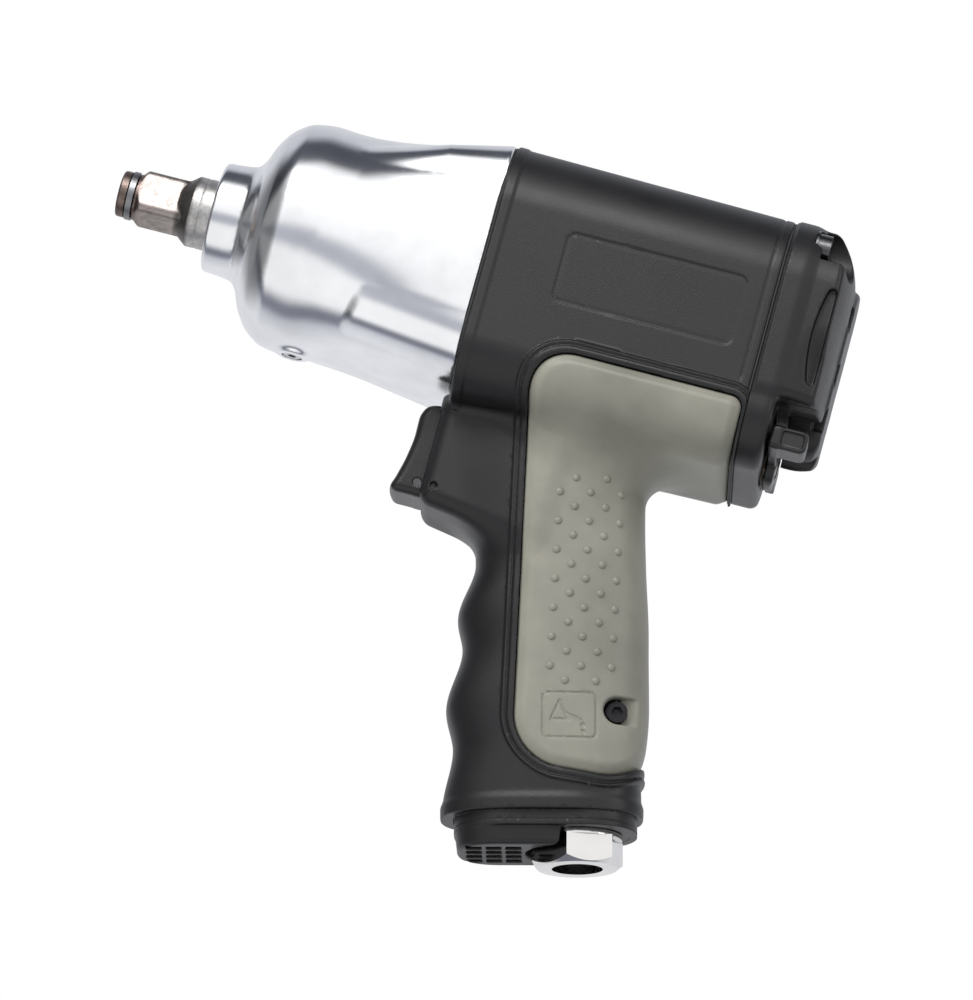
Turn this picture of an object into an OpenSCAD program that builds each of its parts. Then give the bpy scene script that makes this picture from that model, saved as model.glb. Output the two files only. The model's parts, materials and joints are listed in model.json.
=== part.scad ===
// Air impact wrench with a pistol grip: square drive, twin-hammer mechanism and vane motor.
// The tool lies along X. The drive end points to -X and the handle hangs towards -Z.
// The origin is the middle of the anvil's front face.

/* [Drive end] */
// Width of the square drive across its flats
square_w = 12.7; // [12.5:0.05:12.8]
// Where the square drive ends and its cone begins
square_end_x = 17.5; // [16:0.5:18]
// Radius of the anvil's journal
journal_r = 9.8; // [9.6:0.05:9.9]

/* [Hammer case] */
// Front face of the hammer case
nose_x = 26.8; // [26.2:0.2:27.4]
// Radius of the collar round the anvil
collar_r = 15.3; // [15:0.1:15.8]
// Radius of the dome over the hammers
dome_r = 32; // [31.6:0.1:32.6]
// Radius of the cavity that the hammers turn in
cavity_r = 27.5; // [27.2:0.1:27.8]

/* [Motor housing] */
// Joint face between the hammer case and the motor housing
seam_x = 104; // [103.5:0.5:104.5]
// Joint face between the motor housing and the rear cover
cover_x = 182; // [181:0.5:183]
// Back of the rear cover
back_x = 203; // [202:0.5:205]
// Half the width of the motor housing at its front
half_w = 35.2; // [35:0.1:36]
// Depth of the motor housing below the drive axis
belly = 38.5; // [38:0.1:39]
// How much narrower the motor housing is at its back, each side
draft = 1.3; // [0.8:0.1:1.5]

/* [Handle] */
// Angle by which the handle leans back
cant = 14.6; // [13:0.1:15.5]
// Where the handle's axis crosses the drive axis
handle_x = 121.9; // [121.5:0.1:122.5]
// Length of the handle along its own axis, down to the base plate
handle_len = 147.2; // [145:0.1:149]
// Half the width of the grip
grip_half = 17.5; // [17:0.1:18.5]
// Thickness of the grip panel
panel_t = 1.2; // [1:0.1:1.5]

/* [Trigger and air inlet] */
// Height of the trigger's axis
trigger_z = -49; // [-50:0.5:-48]
// Travel of the trigger
trigger_travel = 6; // [5:0.5:6.5]
// Width of the inlet's hexagon across its flats
inlet_hex = 22; // [21:0.5:23]
// Radius of the threaded hole in the inlet
inlet_r = 6.85; // [6.8:0.05:6.9]

/* [Hidden] */
$fn = 64;
hull_fn = 32;
eps = 0.02;

// Fits: radial gap of a running fit, and of parts that are only located
run_gap = 0.05;
seat_gap = 0.02;

// Corner screws: places of the upper and the lower pair, shank and head
screw_y = 25.5;
screw_top_z = 25.5;
screw_low_z = -23.5;
screw_r = 2.5;
screw_head_r = 4.3;
screw_seat_x = cover_x + 3;
screw_head_t = 3.4;
function seat_x(z) = screw_seat_x + (z > 0 ? 3.6 : 0);
screw_places = [for (side = [-1, 1]) for (z = [screw_top_z, screw_low_z]) [side * screw_y, z]];

// Corner radii of the motor housing's cross-section
top_corner_r = 20;
low_corner_r = 15;
case_belly = 32.7;

// Hammer mechanism
frame_r = 26;
frame_front_x = 53;
frame_back_x = 96;
frame_disc_t = 3.6;
hammer_r = 24.5;
hammer_len = 16.5;
hammer_bore_r = 15;
hammer_front_x = 57;
hammer_rear_x = 75;
hammer_flat = 21.5;
pin_r = 2.75;
pin_orbit = 19.7;
rocking = 4.5;
anvil_core_r = 9;
anvil_lug_r = 13.2;

// Motor
plate_t = 6;
motor_r = 27.2;
motor_front_x = seam_x + 0.5;
cylinder_x = motor_front_x + plate_t;
cylinder_len = 56;
rear_plate_x = cylinder_x + cylinder_len;
motor_back_x = 174;
rotor_r = 19;
liner_r = 21.5;
liner_offset = 2;
vane_count = 6;
vane_t = 1.6;
vane_depth = 9;
shaft_r = 6;

// Ball bearings
bearing_t = 5;
bearing_out_r = 14;
bearing_mid_r = 10;
ball_r = 2;
ball_count = 9;

// Reverse valve and lever
valve_z = -28.5;
valve_r = 6;
detent_orbit = 8;
lever_x = 190;
lever_t = 2.8;
lever_span = 28.5;
lever_far_end = 22;
lever_wing_l = 10.2;
lever_half = 3.2;
bay_x = lever_x - 0.4;
wall_x = lever_x + lever_t + 0.4;
bay_top_z = -18.9;

// Throttle
stem_r = 2;
throttle_bore_r = 8;
slide_end_x = 111.5;
pocket_x = slide_end_x + trigger_travel + 0.5;
poppet_x = 130.4;
poppet_r = 5.6;
spring_end_x = 150;
spring_turns = 7;
trigger_pin_x = 100.4;
trigger_pin_z = -60.4;

// Handle base
inlet_g = 7.5;
air_bore_r = 8.2;
base_t = 1.6;
plug_back = 18;
plug_down = 117.6;
plug_r = 2.8;
plug_pocket_r = 3.7;
hex_top = handle_len + base_t + 0.1;
hex_h = 8.8;

// Straight solids along X
module rod_x(x0, x1, r) translate([x0, 0, 0]) rotate([0, 90, 0]) cylinder(h = x1 - x0, r = r);
module tube_x(x0, x1, outer, inner) {
    difference() {
        rod_x(x0, x1, outer);
        rod_x(x0 - 1, x1 + 1, inner);
    }
}

// Solid turned about X from an outline of [x, radius] points
module turned(outline) {
    rotate([0, 90, 0]) rotate_extrude() polygon([for (p = outline) [p[1], p[0]]]);
}

// Everything in here is placed in the handle's own frame: +X is the back, -Z runs down the grip
module on_handle() translate([handle_x, 0, 0]) rotate([0, -cant, 0]) children();

// A point of the handle's frame, given as distance back and distance down, as [x, z] of the tool
function grip_point(back, down) =
    [handle_x + back * cos(cant) + down * sin(cant), back * sin(cant) - down * cos(cant)];

// A slice of the motor housing's cross-section: four rods in its corners
module corner_rods(x0, x1, half, depth, grow) {
    for (side = [-1, 1]) {
        translate([0, side * (half - top_corner_r), half - top_corner_r])
            rod_x(x0, x1, top_corner_r + grow, $fn = hull_fn);
        translate([0, side * (half - low_corner_r), low_corner_r - depth])
            rod_x(x0, x1, low_corner_r + grow, $fn = hull_fn);
    }
}

module barrel(x0, x1, grow) {
    hull() {
        corner_rods(x0, x0 + 1, half_w, belly, grow);
        corner_rods(x1 - 1, x1, half_w - draft, belly, grow);
    }
}

// One slice of the grip: a rod in its front and a rod in its back
module grip_slice(front, back, down, grow) {
    front_r = grip_half - 0.5;
    back_r = grip_half - 2;
    translate([-front + front_r, 0, -down]) cylinder(h = 1, r = front_r + grow, $fn = hull_fn);
    translate([back - back_r, 0, -down]) cylinder(h = 1, r = back_r + grow, $fn = hull_fn);
}

module grip(grow) {
    on_handle() {
        hull() {
            grip_slice(15, 26, 30, grow);
            grip_slice(20.5, 25.5, 74, grow);
        }
        hull() {
            grip_slice(20.5, 25.5, 74, grow);
            grip_slice(26.5, 26, 114, grow);
        }
        hull() {
            grip_slice(26.5, 26, 114, grow);
            grip_slice(29.5, 23.5, handle_len, grow);
        }
    }
}

// Neck that carries the trigger, between the barrel and the grip
module neck() {
    neck_r = 12;
    hull() {
        for (side = [-1, 1]) {
            translate([101 + neck_r, side * 3, -69.5])
                cylinder(h = 33, r = neck_r, $fn = hull_fn);
            translate([122 + neck_r, side * 4, -76])
                cylinder(h = 42, r = neck_r, $fn = hull_fn);
        }
    }
}

// ---- Anvil and socket retainer ----

module anvil() {
    color("dimgray") {
        difference() {
            union() {
                turned([
                    [0, 0], [0, 5.6], [0.8, 6.35], [2.4, 6.35], [2.4, 5], [4.6, 5], [4.6, 6.35], [6, 6.35],
                    [6, 0]
                ]);
                square_drive();
                turned([[square_end_x - 0.5, 0], [square_end_x - 0.5, 7.6], [22, journal_r],
                    [50.4, journal_r], [50.4, 13], [52.4, 13], [52.4, anvil_core_r],
                    [91.5, anvil_core_r], [91.5, 0]]);
                anvil_lug(hammer_front_x + 0.5, 0);
                anvil_lug(hammer_rear_x + 0.5, 180);
            }
            // Centre drilling in the front face
            turned([[-1, 0], [-1, 2.2], [0.6, 1.2], [3, 0.6], [3, 0]]);
        }
    }
}

// Square drive with rounded corners, turned so that one corner points down towards the near side
module square_drive() {
    corner_r = 2.3;
    flat = square_w / 2 - corner_r;
    rotate([-11, 0, 0]) intersection() {
        union() {
            translate([5, -square_w / 2, -flat]) cube([square_end_x - 5, square_w, 2 * flat]);
            translate([5, -flat, -square_w / 2]) cube([square_end_x - 5, 2 * flat, square_w]);
            for (a = [-1, 1]) for (b = [-1, 1])
                translate([0, a * flat, b * flat]) rod_x(5, square_end_x, corner_r);
        }
        turned([[5, 0], [5, 6.6], [7.4, 9.4], [square_end_x, 9.4], [square_end_x, 0]]);
    }
}

// Jaw that a hammer strikes
module anvil_lug(x0, turn) {
    rotate([turn, 0, 0]) intersection() {
        translate([x0, -3.5, 0]) cube([hammer_len - 1, 7, 20]);
        rod_x(x0, x0 + hammer_len - 1, anvil_lug_r);
    }
}

// Split ring that holds the socket
module socket_ring() {
    color("gray") difference() {
        tube_x(2.7, 4.3, 6.7, 5.5);
        translate([2, -0.6, 0]) cube([3, 1.2, 10]);
    }
}

module ring_o_ring() {
    color("black") translate([3.5, 0, 0]) rotate([0, 90, 0])
        rotate_extrude() translate([5.24, 0]) circle(r = 0.22);
}

// ---- Hammer case ----

module hammer_case() {
    color("silver") difference() {
        union() {
            turned([
                [nose_x, 0], [nose_x, collar_r - 1.3], [nose_x + 1.2, collar_r],
                [nose_x + 8, collar_r + 0.4], [37.5, collar_r + 2.2], [39.5, 23.5], [43.5, 28.7],
                [49, dome_r - 0.5], [55, dome_r], [72, dome_r - 0.3], [72, 0]
            ]);
            hull() {
                rod_x(66, 67, dome_r - 0.3);
                corner_rods(seam_x - 1.2, seam_x - 0.5, half_w, case_belly, 0);
            }
            for (place = screw_places)
                translate([0, place[0], place[1]])
                    turned([[78, 0], [78, 2], [88, 6.2], [seam_x - 0.5, 6.4], [seam_x - 0.5, 0]]);
            translate([57.5, 0, -dome_r - 0.6]) cylinder(h = 4, r = 4.6);
        }
        rod_x(nose_x - 1, 29, 10.4);
        rod_x(28, 51, 12.6);
        rod_x(50, seam_x + 1, cavity_r);
        translate([57.5, 0, -dome_r - 1]) cylinder(h = 6, r = 2.6);
        for (place = screw_places)
            translate([0, place[0], place[1]]) rod_x(86, seam_x, screw_r + run_gap);
    }
}

module nose_seal() {
    color("black") tube_x(28, 30.4, 12.6 - seat_gap, journal_r + run_gap * 2);
}

module anvil_bushing() {
    color("peru") tube_x(30.5, 50, 12.6 - seat_gap, journal_r + run_gap);
}

module grease_plug() {
    color("gray") translate([57.5, 0, -dome_r]) difference() {
        translate([0, 0, -0.7]) cylinder(h = 4.5, r = 2.5);
        translate([0, 0, -1]) cylinder(h = 2.2, r = 1.3, $fn = 6);
    }
}

// ---- Hammers ----

// Cage that carries the hammers on their pins and is driven by the rotor
module hammer_frame() {
    color("slategray") difference() {
        union() {
            rod_x(frame_front_x, frame_front_x + frame_disc_t, frame_r);
            rod_x(frame_back_x - frame_disc_t, frame_back_x, frame_r);
            rod_x(frame_back_x - 1, seam_x - 1, 10.5);
            intersection() {
                tube_x(frame_front_x, frame_back_x, frame_r, hammer_flat + 2);
                for (side = [-1, 1])
                    translate([frame_front_x, side * frame_r - 2, -12])
                        cube([frame_back_x - frame_front_x, 4, 24]);
            }
        }
        rod_x(frame_front_x - 1, frame_front_x + frame_disc_t + 1, 11.2);
        rod_x(frame_back_x - frame_disc_t - 1, seam_x, shaft_r + seat_gap);
        for (turn = [0 : 45 : 315])
            rotate([turn, 0, 0]) translate([frame_back_x - frame_disc_t - 1, -1.05, 0])
                cube([20, 2.1, 7.4 + 0.1]);
        for (side = [-1, 1])
            translate([0, 0, side * pin_orbit])
                rod_x(frame_front_x - 1, frame_back_x + 1, pin_r + seat_gap);
    }
}

module hammer_pins() {
    color("lightgray") for (side = [-1, 1])
        translate([0, 0, side * pin_orbit])
            rod_x(frame_front_x + 0.2, frame_back_x - 0.2, pin_r);
}

// One hammer: a ring that rocks on one pin and leaves room for the other
module hammer(x0, pin_side) {
    slot_half = pin_r + 0.4 + 2 * pin_orbit * sin(rocking);
    difference() {
        intersection() {
            rod_x(x0, x0 + hammer_len, hammer_r);
            translate([x0, -hammer_flat, -hammer_r]) cube([hammer_len, 2 * hammer_flat, 2 * hammer_r]);
        }
        rod_x(x0 - 1, x0 + hammer_len + 1, hammer_bore_r);
        translate([0, 0, pin_side * pin_orbit]) rod_x(x0 - 1, x0 + hammer_len + 1, pin_r + run_gap);
        // The slot is open to the outside, round the other pin
        translate([x0 - 1, -slot_half, -pin_side * (pin_orbit + 2) - 6])
            cube([hammer_len + 2, 2 * slot_half, 12]);
    }
}

module hammer_front() color("darkgray") hammer(hammer_front_x, 1);
module hammer_rear() color("darkgray") hammer(hammer_rear_x, -1);

// ---- Vane motor ----

module case_gasket() {
    color("black") difference() {
        hull() corner_rods(seam_x - 0.45, seam_x - 0.05, half_w - 0.4, case_belly, 0);
        rod_x(seam_x - 1, seam_x + 1, cavity_r + 0.3);
        for (place = screw_places)
            translate([0, place[0], place[1]]) rod_x(seam_x - 1, seam_x + 1, screw_r + 0.3);
    }
}

// Plate that closes one end of the motor and seats a bearing
module end_plate(x0, bearing_x) {
    difference() {
        rod_x(x0, x0 + plate_t - 0.05, motor_r - 0.1);
        rod_x(x0 - 1, x0 + plate_t + 1, 8);
        rod_x(bearing_x, bearing_x + bearing_t, bearing_out_r + seat_gap);
        translate([0, 0, -24.4]) rod_x(x0 - 1, x0 + plate_t + 1, 1.55);
        for (turn = [60, 120, 240, 300])
            rotate([turn, 0, 0]) translate([0, 0, 22]) rod_x(x0 - 1, x0 + plate_t + 1, 1.8);
    }
}

front_bearing_x = motor_front_x;
rear_bearing_x = rear_plate_x + plate_t - bearing_t;

module front_end_plate() color("silver") end_plate(motor_front_x, front_bearing_x - eps);
module rear_end_plate() color("silver") end_plate(rear_plate_x, rear_bearing_x + eps);

// Groove that the balls run in
module ball_groove(x) {
    translate([x, 0, 0]) rotate([0, 90, 0]) rotate_extrude()
        translate([bearing_mid_r, 0]) circle(r = ball_r + 0.08);
}

module bearing_outer_rings() {
    color("lightgray") for (x0 = [front_bearing_x, rear_bearing_x]) difference() {
        tube_x(x0 + 0.02, x0 + bearing_t - 0.02, bearing_out_r, bearing_mid_r + 1.2);
        ball_groove(x0 + bearing_t / 2);
    }
}

module bearing_inner_rings() {
    color("lightgray") for (x0 = [front_bearing_x, rear_bearing_x]) difference() {
        tube_x(x0 + 0.02, x0 + bearing_t - 0.02, bearing_mid_r - 1.2, shaft_r + seat_gap);
        ball_groove(x0 + bearing_t / 2);
    }
}

module bearing_balls() {
    color("white") for (x0 = [front_bearing_x, rear_bearing_x]) for (i = [0 : ball_count - 1])
        rotate([i * 360 / ball_count, 0, 0])
            translate([x0 + bearing_t / 2, 0, bearing_mid_r]) sphere(r = ball_r, $fn = 32);
}

// Liner of the motor: its bore sits higher than the rotor
module motor_cylinder() {
    color("gainsboro") difference() {
        rod_x(cylinder_x + 0.05, rear_plate_x - 0.05, motor_r);
        translate([0, 0, liner_offset]) rod_x(cylinder_x - 1, rear_plate_x + 1, liner_r);
        translate([0, 0, -24.4]) rod_x(cylinder_x - 1, rear_plate_x + 1, 1.55);
        for (turn = [60, 120, 240, 300]) for (x = [18, 28, 38])
            rotate([turn, 0, 0]) translate([cylinder_x + x, 0, 15]) cylinder(h = 20, r = 2.4);
    }
}

module cylinder_dowel() {
    color("lightgray") translate([0, 0, -24.4])
        rod_x(motor_front_x + 0.3, rear_plate_x + plate_t - 0.4, 1.5);
}

module rotor() {
    color("darkgray") difference() {
        union() {
            rod_x(cylinder_x + 0.4, rear_plate_x - 0.4, rotor_r);
            rod_x(frame_back_x - 3, rear_bearing_x + bearing_t + 1.2, shaft_r);
            rod_x(front_bearing_x + bearing_t + 0.3, rear_bearing_x - 0.3, 7.2);
            for (turn = [0 : 45 : 315])
                rotate([turn, 0, 0]) translate([frame_back_x - 3, -1, 0]) cube([9.6, 2, 7.3]);
        }
        for (i = [0 : vane_count - 1])
            rotate([(i + 0.5) * 360 / vane_count, 0, 0])
                translate([cylinder_x, -vane_t / 2 - 0.05, rotor_r - vane_depth - 0.1])
                    cube([cylinder_len, vane_t + 0.1, vane_depth + 2]);
    }
}

module rotor_vanes() {
    color("saddlebrown") intersection() {
        for (i = [0 : vane_count - 1])
            rotate([(i + 0.5) * 360 / vane_count, 0, 0])
                translate([cylinder_x + 0.5, -vane_t / 2, rotor_r - vane_depth])
                    cube([cylinder_len - 1, vane_t, vane_depth]);
        rod_x(cylinder_x, rear_plate_x, rotor_r);
    }
}

module rear_spacer() {
    color("gray") tube_x(rear_plate_x + plate_t + 0.1, motor_back_x - 0.1, motor_r - 0.2, 16);
}

// ---- Motor housing and grip ----

module housing() {
    color([0.09, 0.09, 0.1]) difference() {
        union() {
            barrel(seam_x, cover_x - 0.5, 0);
            grip(0);
            neck();
        }
        rod_x(seam_x - 1, motor_back_x, motor_r + 0.1);
        rod_x(motor_back_x - 1, cover_x, 13);
        for (place = screw_places)
            translate([0, place[0], place[1]]) rod_x(seam_x - 1, cover_x + 1, screw_r + 0.2);
        // Reverse valve's seat and the passage that feeds it
        translate([0, 0, valve_z]) rod_x(motor_back_x + 1.5, cover_x + 1, valve_r + run_gap);
        // Trigger pocket
        translate([100, -9.4, -66.2]) cube([pocket_x - 100, 18.8, 29.6]);
        // Throttle bore
        translate([0, 0, trigger_z]) rod_x(pocket_x - 1, spring_end_x, throttle_bore_r);
        // Air passage up the handle, and the exhaust passage in front of it
        on_handle() {
            translate([inlet_g, 0, -handle_len - 1]) cylinder(h = 100, r = air_bore_r);
            translate([inlet_g, 0, -handle_len - 1]) cylinder(h = 22, r = 10.6);
            translate([-16, 0, -handle_len - 1]) cylinder(h = 66, r = 6.5);
        }
        oil_pocket();
        // Hole of the oil plug, and the drilling that joins it to the air passage
        on_handle() translate([plug_back, -12, -plug_down]) rotate([-90, 0, 0])
            cylinder(h = 7, r = plug_r - 0.6 + seat_gap);
        on_handle() translate([inlet_g, -6.3, -plug_down]) rotate([0, 90, 0])
            cylinder(h = plug_back - inlet_g, r = 1.2);
    }
}

// Recess round the oil plug, open to the back of the grip
module oil_pocket() {
    on_handle() translate([plug_back, -grip_half - 4, -plug_down]) rotate([-90, 0, 0]) {
        cylinder(h = 10.5, r = plug_pocket_r);
        translate([0, -plug_pocket_r, 0]) cube([14, 2 * plug_pocket_r, 10.5]);
    }
}

// Outline of the grip panel, seen from the side
panel_outline = concat(
    [for (p = [[4.6, 138.6], [-3, 131.5], [-9.6, 119], [-9.6, 104], [-7.2, 62], [-6.2, 40]])
        grip_point(p[0], p[1])],
    [[126.5, -38], [128.5, -30], [133, -24.6], [139, -22], [176, -21.8], [181, -25.5], [181, -60],
        grip_point(40, 75), grip_point(40, 138.6)]
);

module grip_panel() {
    color([0.42, 0.41, 0.38]) difference() {
        intersection() {
            union() {
                barrel(seam_x + 18, cover_x - 0.9, panel_t);
                grip(panel_t);
            }
            rotate([90, 0, 0]) linear_extrude(height = 90, center = true) polygon(panel_outline);
        }
        barrel(seam_x, cover_x + 0.5, 0.02);
        grip(0.02);
        oil_pocket();
    }
}

module oil_plug() {
    color("black") on_handle() translate([plug_back, 0, -plug_down]) rotate([90, 0, 0]) difference() {
        union() {
            translate([0, 0, 7]) cylinder(h = 5, r = plug_r - 0.6);
            translate([0, 0, 11.05]) cylinder(h = 2.2, r = plug_r);
        }
        translate([0, 0, 11.6]) cylinder(h = 4, r = 1.6, $fn = 6);
    }
}

// ---- Rear cover, its screws and the reverse lever ----

module rear_gasket() {
    color("black") difference() {
        hull() corner_rods(cover_x - 0.45, cover_x - 0.05, half_w - draft - 0.3, belly - 0.3, 0);
        rod_x(cover_x - 1, cover_x + 1, 13);
        translate([0, 0, valve_z]) rod_x(cover_x - 1, cover_x + 1, valve_r + 0.3);
        for (place = screw_places)
            translate([0, place[0], place[1]]) rod_x(cover_x - 1, cover_x + 1, screw_r + 0.3);
    }
}

module rear_cover() {
    rear_half = half_w - draft;
    color([0.09, 0.09, 0.1]) difference() {
        union() {
            // Flange against the housing
            hull() {
                corner_rods(cover_x, cover_x + 5.5, rear_half, belly, 0);
                corner_rods(cover_x + 7, cover_x + 7.5, rear_half - 0.5, belly - 0.5, -2);
            }
            // Cap over the back of the motor, above the lever
            hull() {
                corner_rods(cover_x + 3, cover_x + 11, rear_half - 0.8, -bay_top_z, 0);
                corner_rods(back_x - 4.5, back_x - 4, rear_half - 2, -bay_top_z - 1, -4);
                translate([0, 0, 6]) rod_x(back_x - 2, back_x - 1.2, 19, $fn = hull_fn);
            }
            // Round wall behind the lever
            translate([0, 0, -13])
                turned([[wall_x, 0], [wall_x, 16], [back_x - 4, 16], [back_x, 13], [back_x, 0]]);
        }
        translate([0, 0, 6]) rod_x(cover_x - 1, cover_x + 12, 20);
        translate([0, 0, valve_z]) rod_x(cover_x - 1, lever_x + 1, valve_r + run_gap);
        translate([0, 0, valve_z + detent_orbit]) rod_x(cover_x + 2.9, lever_x, 1.4);
        // Slit for the lever's arm, bays for its wings and the notch that its screw is reached through
        translate([bay_x, -40, -50]) cube([wall_x - bay_x, 80, 50 + bay_top_z]);
        for (side = [-1, 1])
            translate([bay_x, side * 28.2 - 12, -50]) cube([30, 24, 50 + bay_top_z]);
        translate([0, 0, valve_z]) rod_x(wall_x - 1, back_x + 1, 4.6);
        for (place = screw_places) translate([0, place[0], place[1]]) {
            rod_x(cover_x - 1, back_x + 1, screw_r + 0.2);
            rod_x(seat_x(place[1]), back_x + 1, screw_head_r + 1);
        }
    }
}

module case_screws() {
    color("gainsboro") for (place = screw_places) translate([0, place[0], place[1]]) difference() {
        union() {
            rod_x(87, seat_x(place[1]) + 1.3, screw_r);
            rod_x(seat_x(place[1]) + 0.8, seat_x(place[1]) + 0.8 + screw_head_t, screw_head_r);
        }
        translate([seat_x(place[1]) + 2.8, 0, 0]) rotate([0, 90, 0]) cylinder(h = 4, r = 2.3, $fn = 6);
    }
}

module screw_washers() {
    color("gray") for (place = screw_places) translate([0, place[0], place[1]])
        tube_x(seat_x(place[1]) + 0.03, seat_x(place[1]) + 0.75, screw_head_r + 0.6, screw_r + 0.1);
}

// Rocker that turns the valve between forward and reverse: a flat arm with a thumb wing on the near end
module reverse_lever() {
    color([0.1, 0.1, 0.11]) translate([0, 0, valve_z]) difference() {
        union() {
            intersection() {
                rod_x(lever_x, lever_x + lever_t, 8.5);
                translate([lever_x - 1, -10, -7.7]) cube([lever_t + 2, 20, 20]);
            }
            translate([lever_x + 0.2, -lever_span, -lever_half])
                cube([lever_t - 0.2, lever_span + lever_far_end, 2 * lever_half]);
            translate([lever_x + 0.2, -lever_span, -lever_half])
                cube([lever_wing_l, 11, 2 * lever_half]);
        }
        rod_x(lever_x - 1, lever_x + 20, 2.1);
        rod_x(lever_x + 1.2, lever_x + 20, 4);
    }
}

module reverse_valve() {
    color("tan") translate([0, 0, valve_z]) difference() {
        union() {
            rod_x(motor_back_x + 2, lever_x - 0.5, valve_r);
            translate([lever_x - 1, -3, -3]) cube([0.9, 6, 6]);
        }
        for (side = [-1, 1])
            translate([motor_back_x + 1, side * 4.6 - 1.2, -8]) cube([8, 2.4, 16]);
        rod_x(motor_back_x + 8, lever_x + 1, 2);
    }
}

module lever_screw() {
    color("gainsboro") translate([0, 0, valve_z]) difference() {
        union() {
            rod_x(motor_back_x + 9, lever_x + 2, 1.95);
            rod_x(lever_x + 1.25, lever_x + lever_t, 3.8);
        }
        translate([lever_x + 1.9, 0, 0]) rotate([0, 90, 0]) cylinder(h = 4, r = 1.7, $fn = 6);
    }
}

module detent_ball() {
    color("white") translate([lever_x - 1.65, 0, valve_z + detent_orbit]) sphere(r = 1.3, $fn = 32);
}

module detent_spring() {
    color("silver") translate([cover_x + 3.3, 0, valve_z + detent_orbit]) rotate([0, 90, 0])
        for (i = [0 : 2]) translate([0, 0, i * 0.84])
            rotate_extrude() translate([0.9, 0]) circle(r = 0.25, $fn = 16);
}

// ---- Trigger and throttle valve ----

module trigger() {
    color([0.08, 0.08, 0.09]) difference() {
        union() {
            // Finger pad
            hull() {
                translate([97.2, 0, -40.4]) rotate([90, 0, 0])
                    cylinder(h = 14, r = 2.4, center = true, $fn = hull_fn);
                translate([98.6, 0, -62.4]) rotate([90, 0, 0])
                    cylinder(h = 16, r = 3, center = true, $fn = hull_fn);
                translate([99, -8.6, -65.4]) cube([4, 17.2, 27.4]);
            }
            // Lip at the foot of the pad
            translate([94.4, 0, -62.9]) rotate([90, 0, 0])
                cylinder(h = 14, r = 2.6, center = true, $fn = hull_fn);
            translate([94.4, -7, -65.5]) cube([6, 14, 4]);
            // Slide inside the neck
            translate([101, -8.6, -65.2]) cube([slide_end_x - 101, 17.2, 27]);
        }
        translate([104, -6.4, -62.5]) cube([8, 12.8, 22]);
        translate([trigger_pin_x, 0, trigger_pin_z]) rotate([90, 0, 0])
            cylinder(h = 30, r = 1.55, center = true);
        translate([0, 0, trigger_z]) rod_x(100, 106, stem_r + seat_gap);
    }
}

module trigger_pin() {
    color("gainsboro") translate([trigger_pin_x, 0, trigger_pin_z]) rotate([90, 0, 0])
        cylinder(h = 16.6, r = 1.5, center = true);
}

// Stem that the trigger pushes, with the throttle's poppet on its end
module throttle_stem() {
    color("silver") translate([0, 0, trigger_z])
        turned([[100.2, 0], [100.2, stem_r], [poppet_x, stem_r], [poppet_x, poppet_r],
            [poppet_x + 3, poppet_r], [poppet_x + 4, poppet_r - 1], [poppet_x + 4, 0]]);
}

module valve_bushing() {
    color("goldenrod") translate([0, 0, trigger_z]) difference() {
        tube_x(pocket_x + 0.1, 126.9, throttle_bore_r - seat_gap, stem_r + run_gap);
        tube_x(121, 123, throttle_bore_r + 1, throttle_bore_r - 1);
    }
}

module valve_seat() {
    color("dimgray") translate([0, 0, trigger_z])
        tube_x(127, poppet_x - 0.3, throttle_bore_r - seat_gap, 4.2);
}

// Coil between the poppet and the blind end of the throttle bore
module valve_spring() {
    coil_r = 4.6;
    wire_r = 0.5;
    length = spring_end_x - poppet_x - 4.2 - 2 * wire_r;
    color("silver") translate([poppet_x + 4.1 + wire_r, 0, trigger_z]) rotate([0, 90, 0])
        for (i = [0 : spring_turns])
            translate([0, 0, i * length / spring_turns])
                rotate_extrude() translate([coil_r, 0]) circle(r = wire_r, $fn = 16);
}

// ---- Handle base ----

module inlet_bushing() {
    corner = inlet_hex / sqrt(3);
    color("gainsboro") on_handle() translate([inlet_g, 0, 0]) difference() {
        union() {
            translate([0, 0, -hex_top - 1]) cylinder(h = 20, r = 10.5);
            translate([0, 0, -hex_top - 1.2]) cylinder(h = 1.2, r = 12);
            intersection() {
                translate([0, 0, -hex_top - hex_h]) rotate([0, 0, 17])
                    cylinder(h = hex_h - 1, r = corner, $fn = 6);
                translate([0, 0, -hex_top - hex_h - 0.5]) rotate_extrude()
                    polygon([[0, 0], [inlet_hex / 2 - 0.9, 0], [corner + 0.5, 2.6],
                        [corner + 0.5, hex_h + 2], [0, hex_h + 2]]);
            }
        }
        translate([0, 0, -hex_top - hex_h - 1]) cylinder(h = 15, r = inlet_r);
        translate([0, 0, -hex_top - 10]) cylinder(h = 60, r = 5.4);
        translate([0, 0, -hex_top + 9]) rotate_extrude() translate([9.6, 0]) square([2, 1.6]);
    }
}

module inlet_o_ring() {
    color("black") on_handle() translate([inlet_g, 0, -hex_top + 9.8])
        rotate_extrude() translate([10.05, 0]) circle(r = 0.4, $fn = 24);
}

// Strainer: a perforated disc above the threaded hole
module inlet_screen() {
    color("silver") on_handle() translate([inlet_g, 0, -hex_top + 19.1]) difference() {
        cylinder(h = 0.8, r = 8);
        for (i = [-2 : 2]) for (j = [-2 : 2])
            translate([i * 2.2, j * 2.2, -1]) cylinder(h = 3, r = 0.7);
    }
}

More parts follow.
